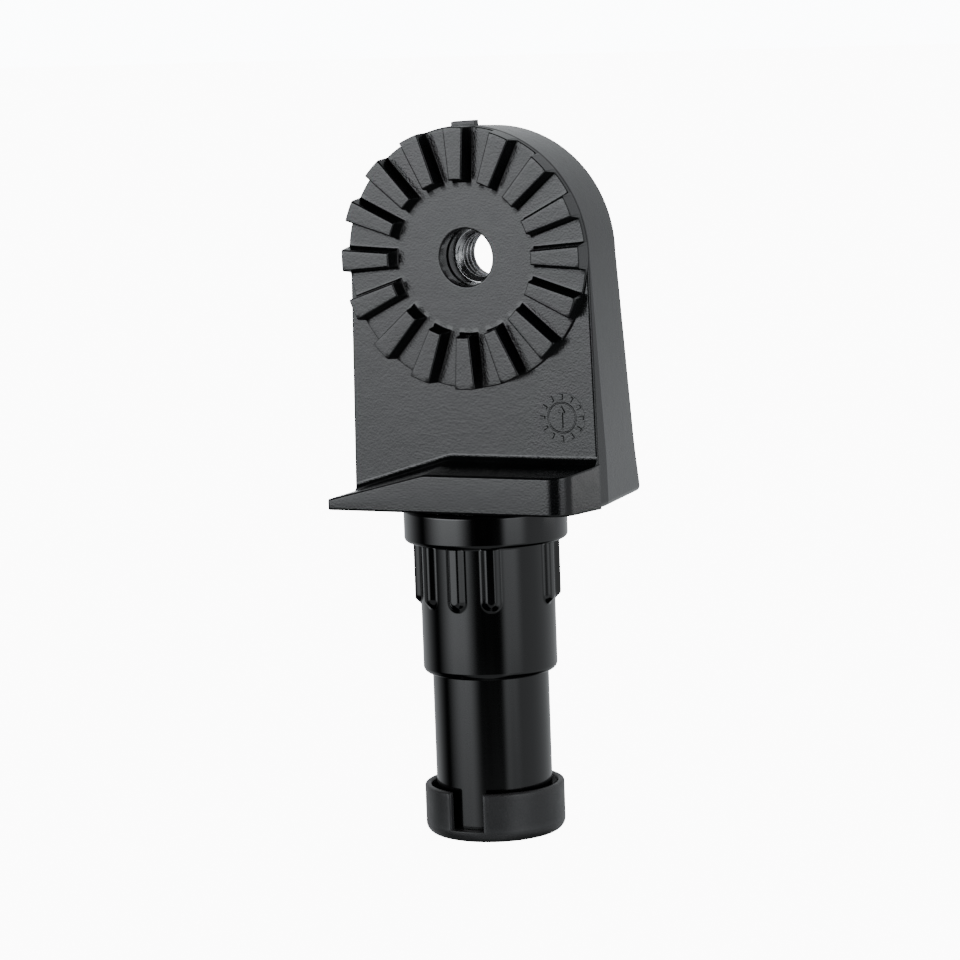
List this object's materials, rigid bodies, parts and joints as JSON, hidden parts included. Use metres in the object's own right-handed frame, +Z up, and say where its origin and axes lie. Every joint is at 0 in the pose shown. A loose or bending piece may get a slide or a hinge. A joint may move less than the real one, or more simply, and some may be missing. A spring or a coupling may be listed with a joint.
{
  "type": "rod holder geared head mount",
  "caption": "Geared tilt head with a threaded clamp-bolt insert on a splined plug-in post, ending in a sprung lock ring.",
  "frame": {"origin": "centre of the collar's underside on the post's axis, the plane that seats on a socket's rim", "axes": "+Z up along the post, -Y out of the toothed face along the clamp bolt's axis, +X to the right of that face"},
  "size_m": [0.0492, 0.0349, 0.1304],
  "materials": {
    "head_plastic": "fine moulded texture, dark grey-black glass-filled nylon",
    "plated_thread": "bright plated thread",
    "post_plastic": "smooth glossy black nylon",
    "ring_plastic": "satin dark grey-black nylon",
    "zinc_steel": "zinc-plated steel"
  },
  "bodies": {
    "mount_body": {"gear_head": "head_plastic", "thread_insert": "plated_thread", "post": "post_plastic", "lock_ring": "ring_plastic", "post_bolt": "zinc_steel", "bolt_washer": "zinc_steel", "lock_nut": "zinc_steel"},
    "finger_left": {"lock_finger_left": "ring_plastic"},
    "finger_right": {"lock_finger_right": "ring_plastic"}
  },
  "joints": [
    {"name": "finger_left_flex", "type": "hinge", "parent": "mount_body", "child": "finger_left", "pos_m": [-0.0029, 0, -0.0521], "axis": [0, 1, 0], "range_deg": [0, 4], "stiffness_Nm_per_rad": 0.5},
    {"name": "finger_right_flex", "type": "hinge", "parent": "mount_body", "child": "finger_right", "pos_m": [0.0029, 0, -0.0521], "axis": [0, -1, 0], "range_deg": [0, 4], "stiffness_Nm_per_rad": 0.5}
  ]
}
